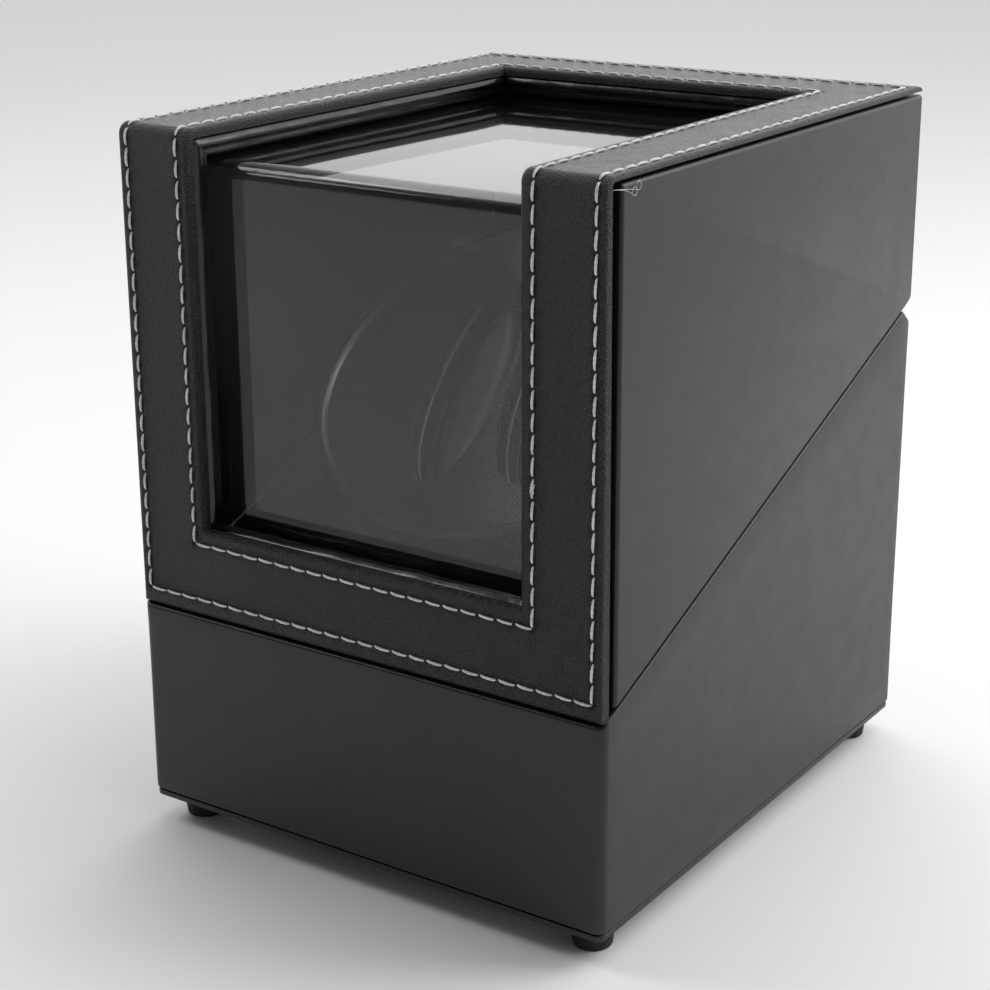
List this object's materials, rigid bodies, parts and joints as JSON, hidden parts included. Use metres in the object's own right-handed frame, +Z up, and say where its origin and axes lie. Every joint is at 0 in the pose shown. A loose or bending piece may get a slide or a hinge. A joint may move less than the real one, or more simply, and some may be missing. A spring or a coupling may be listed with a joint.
{
  "type": "watch winder box",
  "caption": "Leather-covered watch winder case with a slanted hinged lid, an L-shaped clear window and a tilted motor-driven rotor with oval watch wells.",
  "frame": {"origin": "on the resting surface under the middle of the case", "axes": "+Z up, +Y towards the hinges and controls at the back, +X to the right seen from the front"},
  "size_m": [0.16, 0.184, 0.213],
  "materials": {
    "leather_board": "fine pebble grain, soft sheen",
    "stitched_leather": "fine pebble grain with off-white saddle stitching",
    "satin_lining": "smooth glossy padded lining",
    "inner_wood": "black-stained fibreboard",
    "flocked_board": "short black flocking",
    "foot_rubber": "matte rubber",
    "steel": "brushed",
    "dark_hinge": "black oxide",
    "brass": "turned",
    "black_plastic": "fine spark-eroded texture",
    "rotor_plastic": "moulded satin gloss",
    "gear_plastic": "moulded acetal",
    "circuit_green": "solder mask",
    "clear_acrylic": "polished clear acrylic",
    "cushion_leather": "soft smooth leather",
    "wire_red": "insulated wire"
  },
  "bodies": {
    "base": {"base_front_panel": "leather_board", "base_back_panel": "leather_board", "base_left_panel": "leather_board", "base_right_panel": "leather_board", "base_floor": "leather_board", "deck_panel": "flocked_board", "deck_cleat_left": "inner_wood", "deck_cleat_right": "inner_wood", "deck_screws": "steel", "base_magnets": "steel", "foot_front_left": "foot_rubber", "foot_front_right": "foot_rubber", "foot_back_left": "foot_rubber", "foot_back_right": "foot_rubber", "foot_screws": "steel", "shaft_bush": "brass", "motor_plate": "steel", "plate_spacers": "steel", "plate_screws": "steel", "idler_axle": "steel", "motor_can": "steel", "motor_screws": "steel", "control_board": "circuit_green", "board_posts": "gear_plastic", "control_plate": "black_plastic", "dc_jack": "black_plastic", "rocker_frame": "black_plastic", "mode_switch": "black_plastic", "wiring": "wire_red", "base_hinge_leaf_left": "dark_hinge", "base_hinge_leaf_right": "dark_hinge", "hinge_pins": "steel", "base_hinge_screws": "steel"},
    "lid": {"front_left_post": "inner_wood", "front_right_post": "inner_wood", "front_bottom_rail": "inner_wood", "top_left_rail": "inner_wood", "top_right_rail": "inner_wood", "top_back_rail": "inner_wood", "stitched_cover": "stitched_leather", "lid_left_panel": "leather_board", "lid_right_panel": "leather_board", "lid_back_panel": "leather_board", "acrylic_window": "clear_acrylic", "reveal_lining": "satin_lining", "lid_magnets": "steel", "lid_hinge_leaf_left": "dark_hinge", "lid_hinge_leaf_right": "dark_hinge", "lid_hinge_screws": "steel"},
    "rotor": {"rotor_dish": "rotor_plastic", "rotor_hub": "rotor_plastic", "drive_shaft": "steel", "output_gear": "gear_plastic", "retaining_clip": "steel"},
    "cushion_left_body": {"cushion_left": "cushion_leather"},
    "cushion_right_body": {"cushion_right": "cushion_leather"},
    "idler": {"idler_gear": "gear_plastic"},
    "motor_rotor": {"motor_pinion": "brass"},
    "knob": {"mode_knob": "black_plastic"},
    "rocker": {"power_rocker": "black_plastic"}
  },
  "joints": [
    {"name": "lid_hinge", "type": "hinge", "parent": "base", "child": "lid", "pos_m": [0, 0.0898, 0.14339], "axis": [-1, 0, 0], "range_deg": [0, 95]},
    {"name": "rotor_spin", "type": "hinge", "parent": "base", "child": "rotor", "pos_m": [0, -0.016, 0.1368], "axis": [0, -0.5736, 0.8192], "continuous": true},
    {"name": "idler_spin", "type": "hinge", "parent": "base", "child": "idler", "pos_m": [0, -0.04057, 0.11959], "axis": [0, -0.5736, 0.8192], "continuous": true},
    {"name": "motor_spin", "type": "hinge", "parent": "base", "child": "motor_rotor", "pos_m": [-0.024, -0.04057, 0.11959], "axis": [0, -0.5736, 0.8192], "continuous": true},
    {"name": "cushion_left_lift", "type": "slide", "parent": "rotor", "child": "cushion_left_body", "axis": [0, -0.5736, 0.8192], "range_m": [0, 0.035]},
    {"name": "cushion_right_lift", "type": "slide", "parent": "rotor", "child": "cushion_right_body", "axis": [0, -0.5736, 0.8192], "range_m": [0, 0.035]},
    {"name": "mode_knob_turn", "type": "hinge", "parent": "base", "child": "knob", "pos_m": [0.025, 0.0879, 0.04], "axis": [0, 1, 0], "range_deg": [0, 120]},
    {"name": "power_rocker_tilt", "type": "hinge", "parent": "base", "child": "rocker", "pos_m": [0, 0.0845, 0.04], "axis": [0, 0, 1], "range_deg": [0, 16]}
  ],
  "couplings": [
    {"joint": "idler_spin", "follows": "rotor_spin", "ratio": -4},
    {"joint": "motor_spin", "follows": "rotor_spin", "ratio": 16}
  ]
}
